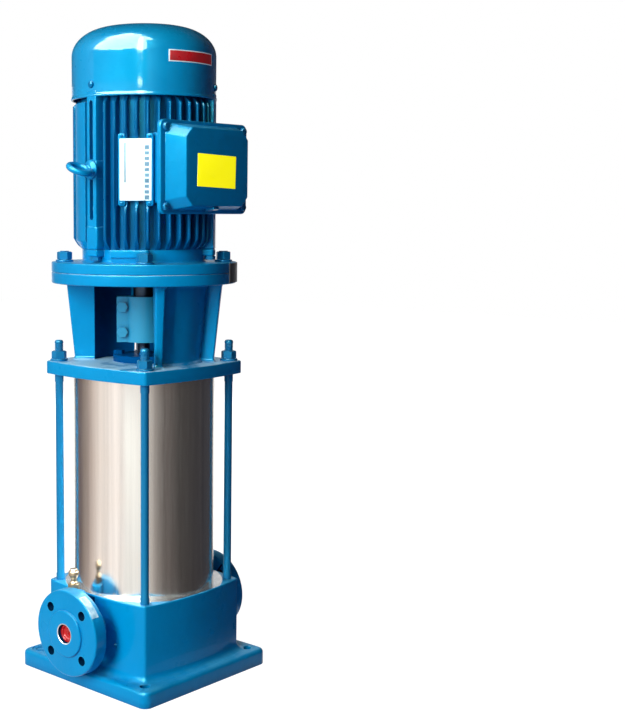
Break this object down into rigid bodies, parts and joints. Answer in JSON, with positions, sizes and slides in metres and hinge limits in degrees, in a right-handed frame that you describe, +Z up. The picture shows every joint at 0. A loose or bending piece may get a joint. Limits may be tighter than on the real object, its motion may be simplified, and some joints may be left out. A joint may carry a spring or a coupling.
{
  "type": "vertical multistage pump",
  "caption": "Vertical in-line multistage high-pressure water pump with a stainless sleeve, tie rods, open coupling bracket and finned flange motor.",
  "frame": {"origin": "centre of the foot's underside, on the shaft's axis", "axes": "+Z up the shaft towards the motor, -X towards the inlet flange, +X towards the outlet flange, -Y towards the terminal box"},
  "size_m": [0.3, 0.257, 0.8717],
  "materials": {
    "blue_paint": "glossy blue machine enamel on grey iron",
    "blue_steel": "steel painted over with the same blue enamel",
    "coupling_paint": "lighter blue enamel on the coupling",
    "stainless": "rolled stainless sheet, lengthwise sheen",
    "stage_steel": "pressed stainless",
    "shaft_steel": "ground steel",
    "zinc_steel": "zinc plated",
    "bearing_steel": "ground bearing steel",
    "core_steel": "stacked laminations",
    "cast_grey": "grey iron",
    "coil_copper": "varnished copper winding",
    "vent_brass": "turned brass",
    "bush_bronze": "bearing bronze",
    "red_plastic": "red protection plug",
    "plate_white": "white coated plate, bare",
    "fan_plastic": "black fan plastic",
    "board_plastic": "brown moulding with studs",
    "seal_rubber": "black seal",
    "seal_ceramic": "ceramic seal face",
    "seal_carbon": "carbon face in a steel carrier"
  },
  "bodies": {
    "pump": {"pump_base": "blue_paint", "outer_sleeve": "stainless", "tie_rods": "blue_steel", "washers": "blue_steel", "nuts": "blue_steel", "motor_bracket": "blue_paint", "coupling_guard": "blue_paint", "seal_gland": "cast_grey", "gland_screws": "zinc_steel", "drive_endshield": "blue_paint", "endshield_bolts": "zinc_steel", "flange_studs": "blue_steel", "stator_frame": "blue_paint", "rear_endshield": "blue_paint", "fan_cowl": "blue_paint", "cowl_screws": "zinc_steel", "name_plate": "plate_white", "terminal_box": "blue_paint", "terminal_lid": "blue_paint", "lid_screws": "zinc_steel", "entry_plug": "blue_steel", "box_gasket": "seal_rubber", "terminal_board": "board_plastic", "lifting_eye": "blue_steel", "inlet_plug": "red_plastic", "outlet_plug": "red_plastic", "vent_body": "vent_brass", "drain_plug": "blue_steel", "sleeve_seals": "seal_rubber", "seal_seat": "seal_ceramic", "suction_ring": "stage_steel", "lower_bush": "bush_bronze", "stage_cover": "stage_steel", "stator_core": "core_steel", "stator_windings": "coil_copper", "bearing_outer_rings": "bearing_steel", "stage_chamber_1": "stage_steel", "stage_chamber_2": "stage_steel", "stage_chamber_3": "stage_steel", "stage_chamber_4": "stage_steel", "stage_chamber_5": "stage_steel", "stage_chamber_6": "stage_steel"},
    "rotor": {"motor_shaft": "shaft_steel", "rotor_core": "core_steel", "fan": "fan_plastic", "coupling_front": "coupling_paint", "coupling_rear": "coupling_paint", "coupling_bolts": "zinc_steel", "coupling_nuts": "zinc_steel", "pump_shaft": "shaft_steel", "seal_rotor": "seal_carbon", "bearing_inner_rings": "bearing_steel", "impeller_1": "stage_steel", "impeller_2": "stage_steel", "impeller_3": "stage_steel", "impeller_4": "stage_steel", "impeller_5": "stage_steel", "impeller_6": "stage_steel"},
    "vent_screw": {"vent_needle": "vent_brass"},
    "vent_turn_knob": {"vent_knob": "vent_brass"}
  },
  "joints": [
    {"name": "rotor_spin", "type": "hinge", "parent": "pump", "child": "rotor", "pos_m": [0, 0, 0.49], "axis": [0, 0, 1], "continuous": true},
    {"name": "needle_lift", "type": "slide", "parent": "pump", "child": "vent_screw", "axis": [0, 0, 1], "range_m": [0, 0.0025]},
    {"name": "knob_turn", "type": "hinge", "parent": "vent_screw", "child": "vent_turn_knob", "pos_m": [-0.123, 0.01, 0.15], "axis": [0, 0, 1], "range_deg": [0, 720]}
  ],
  "couplings": [
    {"joint": "knob_turn", "follows": "needle_lift", "rad_per_m": 5026.5}
  ]
}
